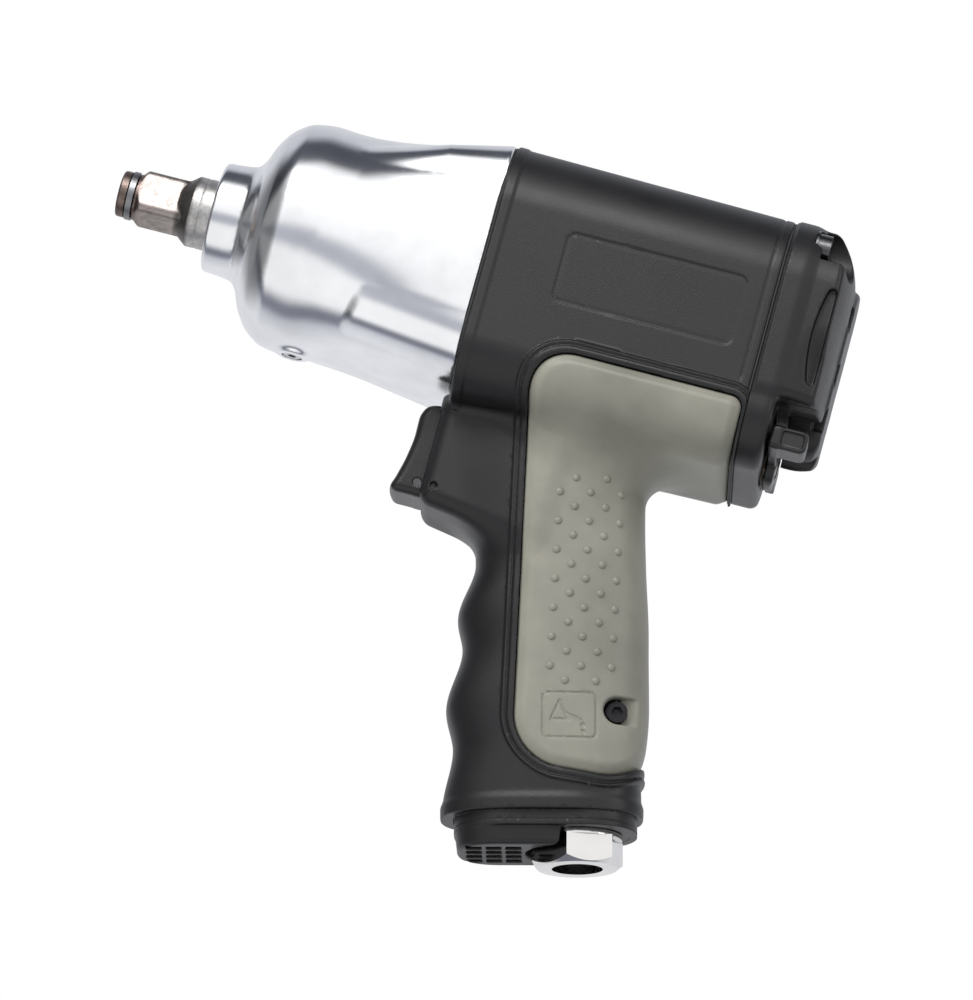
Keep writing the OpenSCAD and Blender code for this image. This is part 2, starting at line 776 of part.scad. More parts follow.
// Plate under the grip, held by the inlet's collar, with the exhaust grille in its deep front
module exhaust_deflector() {
    slat_pitch = 5;
    color([0.08, 0.08, 0.09]) on_handle() difference() {
        union() {
            hull() {
                translate([-14.5, 0, -handle_len - 6])
                    cylinder(h = 6 - eps, r = 12.5, $fn = hull_fn);
                translate([-6.5, 0, -handle_len - 6])
                    cylinder(h = 6 - eps, r = 14.5, $fn = hull_fn);
            }
            hull() {
                grip_base_rod(-12.5, 16);
                grip_base_rod(9, 14);
            }
        }
        translate([inlet_g, 0, -handle_len - 20]) cylinder(h = 30, r = 10.7);
        translate([inlet_g, 0, -handle_len - base_t - 10]) cylinder(h = 10, r = 13.8);
        for (i = [0 : 2]) for (j = [-1.5 : 1.5])
            translate([-22.5 + i * slat_pitch, j * slat_pitch - 1.5, -handle_len - 7])
                cube([3, 3, 9]);
    }
}

module grip_base_rod(back, r) {
    translate([back, 0, -handle_len - base_t]) cylinder(h = base_t - eps, r = r, $fn = hull_fn);
}

module exhaust_muffler() {
    color("gray") on_handle() translate([-16, 0, -handle_len + 1]) cylinder(h = 30, r = 6.3);
}

anvil();
socket_ring();
ring_o_ring();
hammer_case();
nose_seal();
anvil_bushing();
grease_plug();
hammer_frame();
hammer_pins();
hammer_front();
hammer_rear();
case_gasket();
front_end_plate();
bearing_outer_rings();
bearing_inner_rings();
bearing_balls();
motor_cylinder();
cylinder_dowel();
rotor();
rotor_vanes();
rear_end_plate();
rear_spacer();
housing();
grip_panel();
oil_plug();
rear_gasket();
rear_cover();
case_screws();
screw_washers();
reverse_lever();
reverse_valve();
lever_screw();
detent_ball();
detent_spring();
trigger();
trigger_pin();
throttle_stem();
valve_bushing();
valve_seat();
valve_spring();
inlet_bushing();
inlet_o_ring();
inlet_screen();
exhaust_deflector();
exhaust_muffler();
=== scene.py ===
"""Looks for the air impact wrench: smooth moulded shells, materials, light and camera.

Each shell is written as a distance field in millimetres, in the CAD's frame, and meshed at the end. The
field is negative inside. -X is the drive end, +Z is up and -Y is the side that the camera sees.
"""

import json
import math

import bpy
import numpy as np
import openvdb
from mathutils import Matrix, Vector


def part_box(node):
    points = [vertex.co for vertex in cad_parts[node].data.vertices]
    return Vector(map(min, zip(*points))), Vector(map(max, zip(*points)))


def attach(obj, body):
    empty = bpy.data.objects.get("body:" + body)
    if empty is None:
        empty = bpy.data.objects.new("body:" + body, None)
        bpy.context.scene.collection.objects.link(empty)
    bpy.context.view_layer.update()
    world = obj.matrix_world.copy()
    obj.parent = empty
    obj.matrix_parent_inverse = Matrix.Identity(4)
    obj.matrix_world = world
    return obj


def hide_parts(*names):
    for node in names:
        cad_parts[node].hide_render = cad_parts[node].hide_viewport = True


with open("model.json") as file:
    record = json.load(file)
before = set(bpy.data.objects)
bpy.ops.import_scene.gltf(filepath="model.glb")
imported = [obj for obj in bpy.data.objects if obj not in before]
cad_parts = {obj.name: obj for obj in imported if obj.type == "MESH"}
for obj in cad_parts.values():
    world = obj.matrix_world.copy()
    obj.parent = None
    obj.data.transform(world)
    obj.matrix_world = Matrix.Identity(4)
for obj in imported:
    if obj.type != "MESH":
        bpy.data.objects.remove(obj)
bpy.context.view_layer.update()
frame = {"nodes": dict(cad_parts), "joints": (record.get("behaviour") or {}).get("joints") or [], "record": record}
MM = 1000.0


def cad(node, corner, axis):
    """One coordinate of a CAD node's box, in millimetres."""
    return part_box(node)[corner][axis] * MM


mounts = {m["name"]: m for m in frame["record"]["mounts"]}
inlet = mounts["air_inlet"]

# ---- Places that the CAD settles, in millimetres ----

NOSE_X = cad("hammer_case", 0, 0)
SEAM_X = cad("case_gasket", 1, 0) + 0.05
COVER_X = cad("rear_cover", 0, 0)
BACK_X = cad("rear_cover", 1, 0)
HALF_W = cad("housing", 1, 1) - 0.3
BELLY = 38.3
CANT = math.atan2(inlet["axis"][0], -inlet["axis"][2])
COS, SIN = math.cos(CANT), math.sin(CANT)
INLET_BACK = 7.5
HEX_DEPTH = 8.8
BASE_T = 1.7
HANDLE_X = inlet["pos_m"][0] * MM + inlet["pos_m"][2] * MM * SIN / COS - INLET_BACK / COS
MOUTH_DOWN = (inlet["pos_m"][0] * MM - HANDLE_X) * SIN - inlet["pos_m"][2] * MM * COS
GRIP_LEN = MOUTH_DOWN - HEX_DEPTH - BASE_T
SCREW_Y = 25.5
SCREW_TOP_Z = 25.5
SCREW_LOW_Z = -23.5
TAPER = 1.1
VALVE_Z = next(j for j in frame["joints"] if j["name"] == "reverse_turn")["pos_m"][2] * MM
LEVER_X = cad("reverse_lever", 0, 0)
BAY_X = LEVER_X - 0.45
WALL_X = LEVER_X + 3.2
BAY_TOP = -18.9


# ---- Camera, made first ----


def make_camera():
    """The camera stands low on the -Y side, a little towards the back, and is rolled."""
    azimuth, elevation, roll = math.radians(4.5), math.radians(-14), math.radians(-15.42)
    distance, width = 2.2, 0.2705
    target = Vector((0.1191, 0, -0.0583))
    out = Vector((
        math.sin(azimuth) * math.cos(elevation),
        -math.cos(azimuth) * math.cos(elevation),
        math.sin(elevation),
    ))
    data = bpy.data.cameras.new("camera")
    data.sensor_width = 36
    data.lens = data.sensor_width * distance / width
    camera = bpy.data.objects.new("camera", data)
    turn = (-out).to_track_quat("-Z", "Y").to_matrix() @ Matrix.Rotation(-roll, 3, "Z")
    camera.matrix_world = Matrix.Translation(target + out * distance) @ turn.to_4x4()
    bpy.context.scene.collection.objects.link(camera)
    bpy.context.scene.camera = camera


make_camera()
bpy.context.scene.view_settings.view_transform = "Standard"


# ---- Distance fields: small tools ----


def union(a, b, r=0.0):
    """Joins two fields, with a fillet of radius r."""
    if np.max(r) <= 0:
        return np.minimum(a, b)
    return np.maximum(r, np.minimum(a, b)) - np.hypot(np.maximum(r - a, 0), np.maximum(r - b, 0))


def common(a, b, r=0.0):
    """What two fields share, with an edge of radius r."""
    if r <= 0:
        return np.maximum(a, b)
    return np.minimum(-r, np.maximum(a, b)) + np.hypot(np.maximum(r + a, 0), np.maximum(r + b, 0))


def cut(a, b, r=0.0):
    """Field a without field b."""
    return common(a, -b, r)


def span(u, low, high):
    """Between two parallel planes."""
    return np.abs(u - (low + high) / 2) - (high - low) / 2


def rounded_rect(u, v, half_u, half_v, r):
    """A rectangle about the origin with corners of radius r."""
    a = np.abs(u) - half_u + r
    b = np.abs(v) - half_v + r
    return np.hypot(np.maximum(a, 0), np.maximum(b, 0)) + np.minimum(np.maximum(a, b), 0) - r


def smooth(t):
    """A soft step from 0 to 1."""
    t = np.clip(t, 0, 1)
    return t * t * (3 - 2 * t)


def bump(u, centre, width):
    """A soft ridge of height 1."""
    return np.exp(-(((u - centre) / width) ** 2))


def rod(u, v, r):
    return np.hypot(u, v) - r


def capsule(x, y, z, a, b, ra, rb):
    """A rod with round ends from a to b, tapering from radius ra to rb."""
    d = [b[i] - a[i] for i in range(3)]
    length2 = sum(c * c for c in d)
    t = np.clip(((x - a[0]) * d[0] + (y - a[1]) * d[1] + (z - a[2]) * d[2]) / length2, 0, 1)
    gap = np.sqrt(
        (x - a[0] - t * d[0]) ** 2 + (y - a[1] - t * d[1]) ** 2 + (z - a[2] - t * d[2]) ** 2
    )
    return gap - (ra + t * (rb - ra))


def segment(u, v, a, b):
    """Distance to a straight line between two points of a plane."""
    du, dv = b[0] - a[0], b[1] - a[1]
    t = np.clip(((u - a[0]) * du + (v - a[1]) * dv) / (du * du + dv * dv), 0, 1)
    return np.hypot(u - a[0] - t * du, v - a[1] - t * dv)


def curve(points):
    """A smooth function through [u, v] points, with no overshoot between them."""
    u = np.array([p[0] for p in points], float)
    v = np.array([p[1] for p in points], float)
    step = np.diff(u)
    slope = np.diff(v) / step
    tangent = np.zeros(len(u))
    same = slope[1:] * slope[:-1] > 0
    mean = 2 * slope[1:] * slope[:-1] / np.where(same, slope[1:] + slope[:-1], 1)
    tangent[1:-1] = np.where(same, mean, 0)
    tangent[0], tangent[-1] = slope[0], slope[-1]
    fine = np.linspace(u[0], u[-1], 400)
    i = np.clip(np.searchsorted(u, fine) - 1, 0, len(u) - 2)
    t = (fine - u[i]) / step[i]
    value = (
        (2 * t**3 - 3 * t**2 + 1) * v[i]
        + (t**3 - 2 * t**2 + t) * step[i] * tangent[i]
        + (3 * t**2 - 2 * t**3) * v[i + 1]
        + (t**3 - t**2) * step[i] * tangent[i + 1]
    )
    return lambda x: np.interp(x, fine, value)


def turned(x, r, outline):
    """A solid turned about X, with radius outline(x), as a distance."""
    eps = 0.02
    lean = (outline(x + eps) - outline(x - eps)) / (2 * eps)
    return (r - outline(x)) / np.sqrt(1 + lean * lean)


def handle_frame(x, z):
    """Distance back and distance down, along the leaning handle."""
    back = (x - HANDLE_X) * COS + z * SIN
    down = (x - HANDLE_X) * SIN - z * COS
    return back, down


# ---- Meshing a field ----

# An edge is halved while it cuts a corner by more than this, unless the halves would be too short
CORNER_CUT = 0.02
SHORTEST_EDGE = 0.3


def gradient(field, p, eps=0.04):
    g = np.empty_like(p)
    for i in range(3):
        q = p.copy()
        q[:, i] += eps
        high = field(q[:, 0], q[:, 1], q[:, 2])
        q[:, i] -= 2 * eps
        g[:, i] = (high - field(q[:, 0], q[:, 1], q[:, 2])) / (2 * eps)
    return g


def settle(field, p, reach, rounds=3):
    """Moves points onto the field's surface, no further than reach in one round."""
    for _ in range(rounds):
        g = gradient(field, p)
        size2 = np.maximum((g * g).sum(1), 0.05)
        step = (field(p[:, 0], p[:, 1], p[:, 2]) / size2)[:, None] * g
        far = np.linalg.norm(step, axis=1, keepdims=True)
        p = p - step * np.minimum(1, reach / np.maximum(far, 1e-9))
    return p


def split(p, t, field):
    """Halves each edge that cuts a corner, and the triangles beside it."""
    edges = np.sort(np.concatenate([t[:, [0, 1]], t[:, [1, 2]], t[:, [2, 0]]]), axis=1)
    edges, place = np.unique(edges, axis=0, return_inverse=True)
    place = place.reshape(3, -1).T
    length = np.linalg.norm(p[edges[:, 0]] - p[edges[:, 1]], axis=1)
    long = np.flatnonzero(length > 2 * SHORTEST_EDGE)
    middle = (p[edges[long, 0]] + p[edges[long, 1]]) / 2
    moved = settle(field, middle, SHORTEST_EDGE, 2)
    off = np.linalg.norm(moved - middle, axis=1) > CORNER_CUT
    chosen = long[off]
    new = np.full(len(edges), -1)
    new[chosen] = len(p) + np.arange(len(chosen))
    p = np.concatenate([p, moved[off]])
    mids = new[place]
    count = (mids >= 0).sum(1)
    out = [t[count == 0]]
    for wanted in (1, 2, 3):
        rows = count == wanted
        a, m = t[rows], mids[rows]
        # Turn each triangle so that its first edge is split, and with two, its last is not
        first = np.argmax(m >= 0, axis=1)
        if wanted == 2:
            first = (np.argmin(m >= 0, axis=1) + 1) % 3
        index = (first[:, None] + np.arange(3)) % 3
        a = np.take_along_axis(a, index, 1)
        m = np.take_along_axis(m, index, 1)
        v0, v1, v2 = a.T
        m0, m1, m2 = m.T
        faces = {
            1: [(v0, m0, v2), (m0, v1, v2)],
            2: [(v0, m0, v2), (m0, m1, v2), (m0, v1, m1)],
            3: [(v0, m0, m2), (m0, v1, m1), (m2, m1, v2), (m0, m1, m2)],
        }[wanted]
        out += [np.stack(f, 1) for f in faces]
    return p, np.concatenate(out)


def mesh_field(name, field, low, high, step, rounds):
    """Meshes a field inside a box, finer where it curves, with the field's own normals."""
    axes = [np.arange(low[i] - 2 * step, high[i] + 2.5 * step, step) for i in range(3)]
    x, y, z = np.meshgrid(*axes, indexing="ij", sparse=True)
    values = np.broadcast_to(field(x, y, z), [len(a) for a in axes]).astype(np.float32)
    grid = openvdb.FloatGrid(10.0)
    grid.copyFromArray(np.ascontiguousarray(values))
    points, tris, quads = grid.convertToPolygons(0.0, 0.0)
    p = np.asarray(points, float) * step + np.array([a[0] for a in axes])
    t = np.concatenate([np.asarray(tris).reshape(-1, 3), quads[:, [0, 1, 2]], quads[:, [0, 2, 3]]])
    p = settle(field, p, step * 0.6)
    for _ in range(rounds):
        p, t = split(p, t, field)
    normal = gradient(field, p)
    normal /= np.maximum(np.linalg.norm(normal, axis=1, keepdims=True), 1e-9)
    face = np.cross(p[t[:, 1]] - p[t[:, 0]], p[t[:, 2]] - p[t[:, 0]])
    if (face * normal[t[:, 0]]).sum() < 0:
        t = t[:, ::-1]
    mesh = bpy.data.meshes.new(name)
    mesh.vertices.add(len(p))
    mesh.vertices.foreach_set("co", (p / MM).ravel())
    mesh.loops.add(t.size)
    mesh.loops.foreach_set("vertex_index", t.ravel().astype(np.int32))
    mesh.polygons.add(len(t))
    mesh.polygons.foreach_set("loop_start", np.arange(0, t.size, 3, dtype=np.int32))
    mesh.update(calc_edges=True)
    mesh.validate()
    mesh.polygons.foreach_set("use_smooth", [True] * len(mesh.polygons))
    if len(mesh.vertices) == len(normal):
        mesh.normals_split_custom_set_from_vertices(normal.tolist())
    piece = bpy.data.objects.new(name, mesh)
    bpy.context.scene.collection.objects.link(piece)
    print("meshed", name, len(p), "points", len(t), "faces")
    return piece


# ---- Hammer case ----

GREASE_X = 57.5
GREASE_FACE_Z = -32.75
LOBE_FRONT_X = 67.0
case_radius = curve([
    [NOSE_X - 3, 14.9], [NOSE_X + 1.2, 15.2], [NOSE_X + 5, 15.5], [35.2, 16.1], [37.2, 18.2], [39.6, 23.6],
    [43.2, 28.4], [48, 31.2], [54, 32], [61, 31.6], [70, 31.6], [88, 32.4], [SEAM_X, 33.2],
])


def case_field(x, y, z):
    r = np.hypot(y, z)
    body = turned(x, r, case_radius)
    square = rounded_rect(y, z - 0.3, 34.8, 34.2, 19)
    start = 65 - 9 * smooth(0.5 - z / 30)
    t = np.clip((x - start) / (SEAM_X - start), 0, 1) ** 1.15
    body = body * (1 - t) + square * t
    for side in (-1, 1):
        # Upper lobe, which is level behind a knee
        front, knee = (LOBE_FRONT_X, side * 17.8, 17.8), (88, side * 23.0, 23.0)
        back = (SEAM_X + 6, side * 24.7, 24.7)
        lobe = union(capsule(x, y, z, front, knee, 5.6, 6.4), capsule(x, y, z, knee, back, 6.4, 8.9))
        body = union(body, lobe, 2.4)
        # Lower lobe, with a blunt, slightly hollow front end
        front, back = (LOBE_FRONT_X, side * 18.8, -17.3), (SEAM_X + 6, side * 24.6, -22.7)
        lobe = common(capsule(x, y, z, front, back, 7.8, 8.8), 73.0 - x - 0.02 * (z + 16) ** 2, 2.4)
        body = union(body, lobe, 2.6)
    # Boss of the grease plug, flush with the plug's end
    plug = common(rod(x - GREASE_X, y, 4.2), span(z, GREASE_FACE_Z, -20), 0.6)
    body = union(body, plug, 2.2)
    body = cut(body, rod(x - GREASE_X, y, 2.75) + 4 * (z > 0), 0.15)
    body = common(body, span(x, NOSE_X, SEAM_X - 0.45), 1.1)
    # Bore of the nose, and the hollow behind it
    body = cut(body, rod(y, z, 10.6), 0.8)
    body = cut(body, common(rod(y, z, 12.8), NOSE_X + 1.6 - x))
    return cut(body, common(rod(y, z, 27), 50 - x))


# ---- Motor housing, neck and grip ----


def barrel_section(y, z, t):
    """The barrel's rounded square, from t = 0 at the front seam to t = 1 at the rear cover."""
    middle = (HALF_W - BELLY) / 2
    radius = np.where(z > middle, 20.0, 15.0)
    return rounded_rect(y, z - middle, HALF_W - TAPER * t, (HALF_W + BELLY) / 2 - TAPER * t, radius)


# Front edge of the grip with its three finger grooves, and its back edge, by distance down
grip_front = curve([
    [50, -22.6], [74.4, -20.2], [89.8, -24.9], [98, -23.6], [114.8, -27.9], [125.6, -26.0], [142, -28.7],
    [150, -28.3],
])
grip_back = curve([
    [20, 26], [62, 24.1], [76, 24.4], [96, 25.0], [114, 25.0], [130, 24.3], [136, 24.5], [142, 24.6],
    [150, 23.6],
])
grip_half = curve([[20, 16], [60, 17.2], [90, 17.6], [120, 17.6], [138, 17.4], [150, 17.6]])


def grip_field(x, y, z):
    back, down = handle_frame(x, z)
    front_edge, back_edge = grip_front(down), grip_back(down)
    middle, reach, half = (front_edge + back_edge) / 2, (back_edge - front_edge) / 2, grip_half(down)
    power = 2.55
    ratio = (np.abs((back - middle) / reach) ** power + (np.abs(y) / half) ** power) ** (1 / power)
    return common((ratio - 1) * half, span(down, 15, GRIP_LEN), 0.7)


NECK_FRONT_X = 101.8
NECK_FLOOR_Z = -66.5
NECK_HALF_W = 14.6


def neck_field(x, y, z):
    """The block in front of the grip that the trigger slides into."""
    front = NECK_FRONT_X - x
    floor = (NECK_FLOOR_Z - 0.16 * (x - 104)) - z
    side = np.abs(y) - NECK_HALF_W - 0.05 * (x - 100)
    box = common(common(front, floor, 3.5), side, 4.5)
    return common(box, common(x - 136, z + 24), 2)


def body_field(x, y, z):
    """Barrel, grip and neck in one, before the panel, the label and the trigger are cut."""
    section = barrel_section(y, z, (x - SEAM_X) / (COVER_X - SEAM_X))
    barrel = common(section, span(x, SEAM_X, COVER_X - 0.45), 0.7)
    handle = union(grip_field(x, y, z), neck_field(x, y, z), 6)
    body = union(barrel, handle, 3.5 + 9 * smooth((x - 112) / 26))
    # The neck reaches in front of the seam, but only below the hammer case
    return cut(body, common(x - SEAM_X, -36.2 - z), 0.4)


PANEL_TOP_Z = -21.9
PANEL_REAR_X = 181.0
PANEL_FOOT = 133.0
PANEL_T = 1.1
PANEL_BEVEL = 2.6


def panel_outline(x, z):
    """Side outline of the grip panel, negative inside."""
    back, down = handle_frame(x, z)
    front = -(back + 6.2 + 0.043 * (down - 40))
    foot = down - (PANEL_FOOT + 0.15 * back)
    return common(common(common(front, z - PANEL_TOP_Z, 13), x - PANEL_REAR_X, 3.5), foot, 13)


def panel_field(x, y, z):
    """A skin over the body, whose border rises from the body to the skin's full height."""
    body = body_field(x, y, z)
    edge = panel_outline(x, z)
    inward = np.clip(-edge / PANEL_BEVEL, 0, 1.3)
    rise = -0.5 + (PANEL_T + 0.5) * (inward - np.maximum(inward - 0.7, 0) ** 2 / 1.2)
    skin = common(body - rise, edge, 0.4)
    skin = cut(skin, body + 1.6)
    skin = cut(skin, oil_pocket(x, y, z), 0.6)
    return skin + oil_mark(x, y, z)


PLUG_BACK, PLUG_DOWN = 18.0, 117.6


def oil_pocket(x, y, z):
    """The round pocket of the oil plug, which runs out to the back of the grip."""
    back, down = handle_frame(x, z)
    u = back - PLUG_BACK
    v = down - PLUG_DOWN
    hole = np.where(u < 0, np.hypot(u, v), np.abs(v)) - 3.7
    return common(hole, y + 11.1, 0.5)


MARK_BACK, MARK_DOWN = 5.3, 119.6


def oil_mark(x, y, z):
    """An engraved oil can that drips, in a rounded square, on the near side only."""
    back, down = handle_frame(x, z)
    u, v = back - MARK_BACK, down - MARK_DOWN
    line = np.abs(rounded_rect(u, v, 7.1, 6.1, 1.4))
    can = [(-5, 1.2), (-2.6, -4), (-0.4, 1.2)]
    for i in range(3):
        line = np.minimum(line, segment(u, v, can[i], can[(i + 1) % 3]))
    line = np.minimum(line, segment(u, v, (-1.2, -0.6), (3.4, 1.4)))
    for drop in (2.8, 4.6):
        line = np.minimum(line, np.abs(np.hypot(u - 3.6, v - drop) - 0.35))
    near = smooth((-y - 8) / 2)
    return 0.34 * near * (1 - smooth((line - 0.12) / 0.42))


def label_field(x, z):
    """Side outline of the plain label recess."""
    return rounded_rect(x - 149, z - 0.9, 24.6, 9.7, 2)


FOOT_RING_DOWN = 139.5
FOOT_STEP_DOWN = 144.7


def foot_outline(back, y):
    """Plan of the deflector's plate, which the grip's foot steps in to."""
    return rounded_rect(back + 1.0, y, 24.5, 15.95, 13.8)


def housing_field(x, y, z):
    plain = body_field(x, y, z)
    edge = panel_outline(x, z)
    # Bead round the mouth, and fine line before the rear seam
    rim = smooth(SEAM_X + 3.4 - x) * (z > -40)
    body = plain - 0.35 * rim
    body = body + 0.3 * bump(x, COVER_X - 3.2, 0.35) * smooth((z + 18) / 2)
    # Label recess on both sides
    label = label_field(x, z)
    flank = smooth((np.abs(y) - 26) / 2)
    body = body + flank * (0.18 * smooth(-label / 0.5) + 0.22 * bump(label, 0, 0.35))
    # Two raised lines round the panel
    ribs = 0.75 * smooth((3.9 - edge) / 0.7) - 0.5 * bump(edge, 2.3, 0.42) - 0.35 * bump(edge, 0.2, 0.4)
    body = body - ribs * smooth((edge + 1) / 0.5)
    # Foot ring under the grip, and the step in to the deflector below it
    back, down = handle_frame(x, z)
    body = body - 0.4 * smooth((down - FOOT_RING_DOWN) / 2.6) * (down > 100)
    body = common(body, np.minimum(down - FOOT_STEP_DOWN, foot_outline(back, y)), 0.45)
    # Seat of the grip panel
    body = cut(body, common(edge - 0.15, -(plain + 1.75)))
    body = cut(body, oil_pocket(x, y, z), 0.5)
    # Hollow for the motor, and the trigger's pocket
    body = cut(body, common(rod(y, z, 27.3), span(x, SEAM_X - 5, 174)))
    pocket = common(rounded_rect(y, z + 50.8, 9.2, 13.7, 2.5), span(x, 90, 118))
    body = cut(body, pocket, 0.7)
    # Cross pin's end in the neck
    pin = common(rod(x - 105.4, z + 61.6, 1.0), NECK_HALF_W - 1 - np.abs(y))
    return cut(body, pin, 0.3)


# ---- Rear cover ----


def cover_field(x, y, z):
    side = np.abs(y)
    half = HALF_W - TAPER
    flange = common(common(barrel_section(y, z, 1), COVER_X + 0.05 - x, 0.5), x - BAY_X, 2.6)
    # Cap above the lever: flat flanks, a round shoulder on top and a slightly domed back
    top, flank = half - 0.35, half - 0.25
    corners = np.where(z > 7, 19.2, 3.0)
    narrow = 2.2 * smooth((x - 190.5) / 9) * smooth((4 - z) / 14)
    cap = rounded_rect(y, z - (top + BAY_TOP) / 2, flank - narrow, (top - BAY_TOP) / 2, corners)
    cap = common(cap, COVER_X + 2 - x)
    back = BACK_X - 0.6 - 4.2 * (side / 33) ** 3 - 7.4 * (np.maximum(z - 8, 0) / 24.5) ** 3.5
    cap = common(cap, x - back, 1.3)
    # Raised plate on the back, whose foot is the round wall behind the lever
    plate = rounded_rect(y, z + 3, 15.8, 26, 15.8)
    wall = common(common(plate, WALL_X - x, 0.5), x - (BACK_X - 0.05 - 0.3 * (side / 16) ** 2), 1.6)
    wall = common(wall, 0.6 * (x - BACK_X) - 0.8 * (z + 29) + 2.2, 3)
    cover = union(union(flange, cap, 2.5), wall, 0.5)
    # Slit and bays that the lever swings in
    bay = common(BAY_X - x, z - BAY_TOP, 0.8)
    bay = cut(bay, common(plate, WALL_X - x))
    cover = cut(cover, bay, 0.6)
    for height, seat, open_from, reach in ((SCREW_TOP_Z, 6.6, 8.8, 7.6), (SCREW_LOW_Z, 3.0, 3.0, 5.3)):
        # Seat of the screw's head, and the scoop that runs out to the back from it
        cover = cut(cover, common(rod(side - SCREW_Y, z - height, 4.8), COVER_X + seat - x), 0.3)
        offset = 0.6 * (height > 0)
        scoop = rod(side - SCREW_Y - offset, z - height - offset, reach)
        cover = cut(cover, common(scoop, COVER_X + open_from - x, 0.4), 0.4)
        cover = cut(cover, rod(side - SCREW_Y, z - height, 2.7))
    # Long shallow recess in each flank, bowed towards the front
    bow = common(193.9 + 1.9 * (z / 14) ** 2 - x, x - 198.0, 1.0)
    recess = common(common(bow, np.abs(z) - 13.6, 1.2), flank - 1.9 - narrow - side, 0.8)
    cover = cut(cover, recess, 0.35)
    # Oval openings down both edges of the plate
    for height in (12.0, -4.0, -17.0):
        opening = common(rounded_rect(side - 13.2, z - height, 1.9, 3.6, 1.9), BACK_X - 3.4 - x, 0.4)
        cover = cut(cover, opening, 0.4)
    # Hollow over the motor, the valve's seat and the way to the lever's screw
    cover = cut(cover, common(rod(y, z - 6, 20), span(x, COVER_X - 5, COVER_X + 12)))
    cover = cut(cover, common(rod(y, z - VALVE_Z, 4.6), WALL_X - 1 - x), 0.4)
    return cut(cover, common(rod(y, z - VALVE_Z, 6.1), span(x, COVER_X - 5, LEVER_X + 1)))


# ---- Trigger, lever, deflector ----

TRIGGER_HALF_W = 8.6
PIN_X = (cad("trigger_pin", 0, 0) + cad("trigger_pin", 1, 0)) / 2
PIN_Z = (cad("trigger_pin", 0, 2) + cad("trigger_pin", 1, 2)) / 2


def trigger_field(x, y, z):
    """Finger pad that curves out to a lip at its foot, on a square slide."""
    face = curve([
        [-67, 94.9], [-62.9, 93.0], [-59.5, 93.9], [-53.5, 95.2], [-47, 95.9], [-42.4, 95.8], [-39, 96.9],
        [-37, 98.4],
    ])
    front = face(z) + 0.72 * (y / TRIGGER_HALF_W) ** 2 - x
    pad = common(front, span(z, -63.9, -38.0), 1.9)
    pad = common(pad, np.abs(y) - TRIGGER_HALF_W, 2.2)
    pad = common(pad, x - 103.0, 0.4)
    slide = common(rounded_rect(y, z + 50.9, TRIGGER_HALF_W, 12.9, 2.2), span(x, 100, 111.5), 0.5)
    both = union(pad, slide, 0.6)
    pin = common(rod(x - PIN_X, z - PIN_Z, 1.2), TRIGGER_HALF_W - 0.5 - np.abs(y))
    return cut(both, pin, 0.3)


def lever_field(x, y, z):
    """Rocker: a hub, a flat arm, and a thumb wing with a sunk end face on the near end."""
    up = z - VALVE_Z
    hub = common(rod(y, up, 8.4), span(x, LEVER_X + 0.05, LEVER_X + 2.75), 0.5)
    hub = common(hub, -7.6 - up, 1.5)
    arm = common(rounded_rect(y + 3.2, up, 25.1, 3.1, 1.2), span(x, LEVER_X + 0.25, LEVER_X + 2.75), 0.5)
    wing = common(rounded_rect(x - LEVER_X - 5.25, up, 5.0, 3.15, 1.7), span(y, -28.4, -17.6), 0.9)
    lever = union(union(hub, arm, 1), wing, 1)
    pad = common(rounded_rect(x - LEVER_X - 6.2, up + 0.1, 3.0, 2.1, 0.9), y + 27.7, 0.3)
    lever = cut(lever, pad, 0.3)
    return cut(lever, common(rod(y, up, 4.1), LEVER_X + 1.2 - x), 0.3)


PLATE_DOWN = GRIP_LEN + 1.6
SLAT_PITCH = 5.3


def deflector_field(x, y, z):
    """Plate under the grip, deep in front, with a grille and a round bay for the inlet's hexagon."""
    back, down = handle_frame(x, z)
    plate = common(foot_outline(back, y), span(down, GRIP_LEN + 0.02, PLATE_DOWN), 0.25)
    deep_reach = rounded_rect(back + 8.1, y, 17.3, 15.2, 11.5)
    tuck = 0.12 * (down - GRIP_LEN)
    deep = common(deep_reach + tuck, span(down, GRIP_LEN, GRIP_LEN + 6.6), 1.3)
    block = union(plate, deep, 0.6)
    block = cut(block, common(rod(back - INLET_BACK, y, 13.9), PLATE_DOWN - down), 0.6)
    block = cut(block, rod(back - INLET_BACK, y, 10.7))
    # Grille: slots that lean, three columns by four rows
    lean = 0.25 * (down - GRIP_LEN)
    across = back + 16.4 - lean
    u = (across + SLAT_PITCH / 2) % SLAT_PITCH - SLAT_PITCH / 2
    v = y % SLAT_PITCH - SLAT_PITCH / 2
    slot = rounded_rect(u, v, 2.05, 2.0, 0.6)
    slot = common(slot, rounded_rect(across, y, 7.9, 10.6, 1))
    slot = common(slot, GRIP_LEN + 2.2 - down)
    return cut(block, slot, 0.35)


# ---- Anvil ----

TIP_R = 6.35
JOURNAL_X = 16.9


def anvil_radius(x):
    """Cone behind the square, then the journal with a fine ring on it."""
    return np.interp(x, [JOURNAL_X, 17.6, 20.6, 60], [6.9, 7.4, 9.75, 9.8]) - 0.22 * bump(x, 23.3, 0.25)


